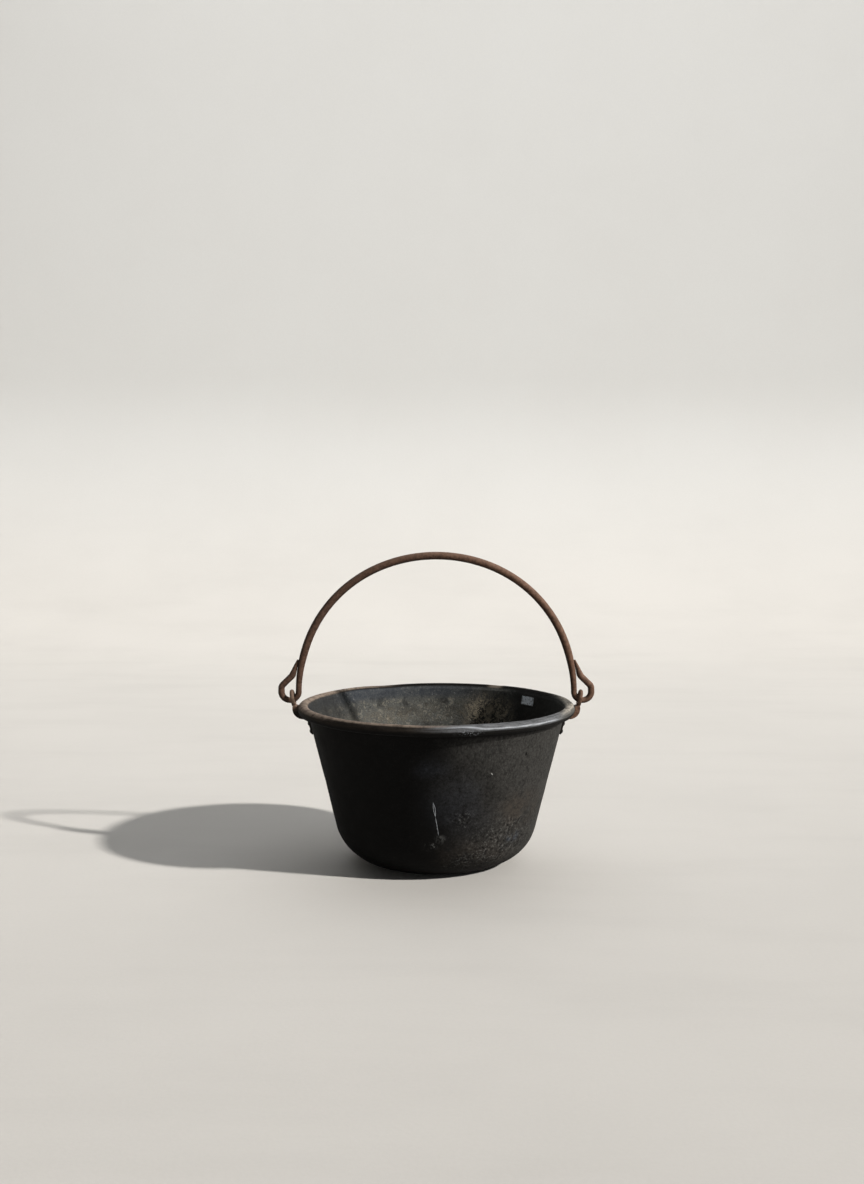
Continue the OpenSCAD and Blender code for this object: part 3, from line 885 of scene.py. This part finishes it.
class KETTLE_OT_bail(Operator):
    """Forge the bail: a round arch, drawn down at the feet and turned into two closed loops"""

    bl_idname = "kettle.bail"
    bl_label = "Bail"

    def centreline(self, s):
        """Places, radii and headings of the right half, from the crown to the end of the tip."""
        span = BAIL_HIGH.x - s.hook - 2 * s.bow
        bow_z = BAIL_LOW.z + s.hook + s.bow
        arch_z = bow_z - s.crown_drop
        places, radii = [], []
        for a in steps(math.pi / 2, math.asin(s.crown_drop / span), s.step / span):
            reach = span + s.shoulder * math.sin(2 * a) ** 2 * smooth(a, 0.0, 0.5)
            places.append((reach * math.cos(a), arch_z + reach * math.sin(a)))
            radii.append(s.hook + (s.rod - s.hook) * float(smooth(a, 0.01, s.draw)))
        for a in steps(math.pi, math.tau, s.step / s.bow)[1:]:
            places.append((span + s.bow + s.bow * math.cos(a), bow_z + s.bow * math.sin(a)))
            radii.append(s.hook + (s.limb_rod - s.hook) * float(smooth(a, 1.5 * math.pi, math.tau)))
        heading = math.pi / 2
        bends = (
            (s.limb, 0, 0),
            (s.bend * s.bend_turn, 1 / s.bend, 0),
            (s.slant, 0, 0),
            (s.lay * s.lay_turn, -1 / s.lay, 0),
            (s.tip, 0, 1),
        )
        for run, turn, tapers in bends:
            parts = len(steps(0, run, s.step * 0.8)) - 1
            for i in range(parts):
                step = run / parts
                x, z = places[-1]
                middle = heading + turn * step / 2
                heading += turn * step
                places.append((x + step * math.cos(middle), z + step * math.sin(middle)))
                radii.append(s.limb_rod + (s.tip_end - s.limb_rod) * tapers * (i + 1) / parts)
        return np.array(places), np.array(radii)

    def execute(self, context):
        s, iron = context.scene.kettle_bail, context.scene.kettle_iron
        places, radii = self.centreline(s)
        line = np.concatenate([places[:0:-1] * [-1, 1], places])
        thick = np.concatenate([radii[:0:-1], radii])
        ahead = np.gradient(line, axis=0)
        ahead = ahead / np.linalg.norm(ahead, axis=1)[:, None]
        side = np.stack([-ahead[:, 1], 0 * ahead[:, 0], ahead[:, 0]], axis=-1)
        turn = np.arange(s.sides) * math.tau / s.sides
        ray = np.cos(turn)[None, :, None] * side[:, None] + np.sin(turn)[None, :, None] * np.array([0.0, 1.0, 0.0])
        middle = np.stack([line[:, 0], 0 * line[:, 0], line[:, 1]], axis=-1)[:, None]
        place = middle + ray * thick[:, None, None]
        worked = smooth(s.rod - thick, 0.1 * MM, 0.8 * MM)[:, None]
        sunk = iron.dents * (0.35 + 0.65 * worked) * (0.5 * facets(place, 0.011, 31) + 0.3 * (1 + bumps(place, 0.016, 32)))
        sunk = sunk + iron.pits * (1 + bumps(place, 0.0024, 33))
        sunk = np.minimum(sunk - 0.12 * MM, thick[:, None] * 0.3)
        place = place - ray * sunk[..., None]
        drift = 0.5 * MM * bumps(middle, 0.16, 34) * smooth(middle[..., 2], 0.36, 0.42)
        place[..., 1] += drift
        ends = [middle[i, 0] + (middle[i, 0] - middle[j, 0]) * 0.6 for i, j in ((0, 1), (-1, -2))]
        mesh = ring_mesh("bail_rod", place, *ends)
        tones = context.scene.kettle_colours
        material = iron_finish("bail_iron", tones.rust, tones.dry_rust_and_light, tones.dark_iron_and_shade, 0.8, shaded=1.0)
        add_piece("bail_rod", mesh, "bail", material, ["bail"])
        return {"FINISHED"}


# Studio


class KETTLE_OT_stage(Operator):
    """Set out the floor, the lights and the camera at the photograph's angle"""

    bl_idname = "kettle.stage"
    bl_label = "Stage"

    def execute(self, context):
        scene = context.scene
        self.floor(scene)
        self.lights(scene)
        self.camera(scene)
        scene.view_settings.view_transform = "Standard"
        return {"FINISHED"}

    def floor(self, scene):
        """Round floor that sweeps up all round: straight and near behind the kettle, far off elsewhere."""
        made = bmesh.new()
        behind, around, bend, low_top, high_top = 2.7, 12.0, 1.1, 3.0, 4.5
        turn = np.linspace(0, math.tau, 144, endpoint=False)
        back = np.maximum(np.sin(turn), 0)
        top = low_top + (high_top - low_top) * smooth(back, 0.2, 0.5)
        line = [(bend * math.sin(a), bend * (1 - math.cos(a))) for a in np.linspace(0, math.pi / 2, 24)]
        rows = []
        for off, z in [(-2.0, 0.0), (-0.5, 0.0), *line, (bend, None)]:
            reach = ((back / (behind + off)) ** 8 + (1 / (around + off)) ** 8) ** (-1 / 8)
            high = top if z is None else np.full(len(turn), z)
            rows.append([made.verts.new(p) for p in zip(reach * np.cos(turn), reach * np.sin(turn), high)])
        made.faces.new(rows[0])
        for low, high in zip(rows, rows[1:]):
            for i in range(len(low)):
                made.faces.new((low[i], low[i - 1], high[i - 1], high[i]))
        mesh = bpy.data.meshes.new("floor")
        made.to_mesh(mesh)
        made.free()
        mesh.shade_smooth()
        mesh.materials.append(floor_finish(scene.kettle_colours))
        floor = bpy.data.objects.new("floor", mesh)
        scene.collection.objects.link(floor)

    def lights(self, scene):
        """Pale surroundings and one key light from the right, a little in front."""
        world = bpy.data.worlds.new("studio")
        scene.world = world
        world.use_nodes = True
        sky = world.node_tree.nodes["Background"]
        sky.inputs["Color"].default_value = (0.96, 0.98, 1.0, 1)
        sky.inputs["Strength"].default_value = 0.035
        light = bpy.data.lights.new("key", "SUN")
        light.energy = 4.2
        light.color = (1.0, 0.955, 0.90)
        light.angle = math.radians(2.6)
        key = bpy.data.objects.new("key", light)
        scene.collection.objects.link(key)
        rise, round_to = math.radians(32.6), math.radians(-24)
        towards = Vector((
            math.cos(rise) * math.cos(round_to),
            math.cos(rise) * math.sin(round_to),
            math.sin(rise),
        ))
        key.rotation_mode = "QUATERNION"
        key.rotation_quaternion = towards.to_track_quat("Z", "Y")
        cloth = bpy.data.lights.new("overhead", "AREA")
        cloth.shape = "RECTANGLE"
        cloth.size, cloth.size_y = 5.0, 4.0
        cloth.energy = 50
        overhead = bpy.data.objects.new("overhead", cloth)
        overhead.location = (0.3, 1.5, 3.5)
        scene.collection.objects.link(overhead)

    def camera(self, scene):
        """Camera at the height, distance and tilt that the photograph's ellipses give."""
        photo_px, focal_px, aside_px = 1184, 1400, 4.3
        data = bpy.data.cameras.new("camera")
        data.sensor_width = 36
        data.lens = data.sensor_width * focal_px / photo_px
        data.shift_x = -aside_px / photo_px
        camera = bpy.data.objects.new("camera", data)
        camera.location = (0, -2.4117, 0.6625)
        camera.rotation_euler = (math.radians(90 - 4.63), 0, 0)
        scene.collection.objects.link(camera)
        scene.camera = camera


STEPS = (
    KETTLE_OT_sheet,
    KETTLE_OT_wire,
    KETTLE_OT_paper,
    KETTLE_OT_ears,
    KETTLE_OT_rivets,
    KETTLE_OT_bail,
    KETTLE_OT_stage,
)


class KETTLE_PT_panel(Panel):
    """Buttons for each piece of the kettle and the sizes they use"""

    bl_idname = "KETTLE_PT_panel"
    bl_label = "Kettle"
    bl_space_type = "VIEW_3D"
    bl_region_type = "UI"
    bl_category = "Kettle"

    def draw(self, context):
        for step in STEPS:
            self.layout.operator(step.bl_idname)
        for name, group in GROUPS.items():
            box = self.layout.box()
            for prop in group.__annotations__:
                box.prop(getattr(context.scene, name), prop)


def register():
    for name, group in GROUPS.items():
        bpy.utils.register_class(group)
        setattr(bpy.types.Scene, name, PointerProperty(type=group))
    for item in (*STEPS, KETTLE_PT_panel):
        bpy.utils.register_class(item)


def unregister():
    for item in reversed((*STEPS, KETTLE_PT_panel)):
        bpy.utils.unregister_class(item)
    for name, group in reversed(GROUPS.items()):
        delattr(bpy.types.Scene, name)
        bpy.utils.unregister_class(group)


def main():
    register()
    for step in STEPS:
        group, name = step.bl_idname.split(".")
        getattr(getattr(bpy.ops, group), name)()


if __name__ == "__main__":
    main()
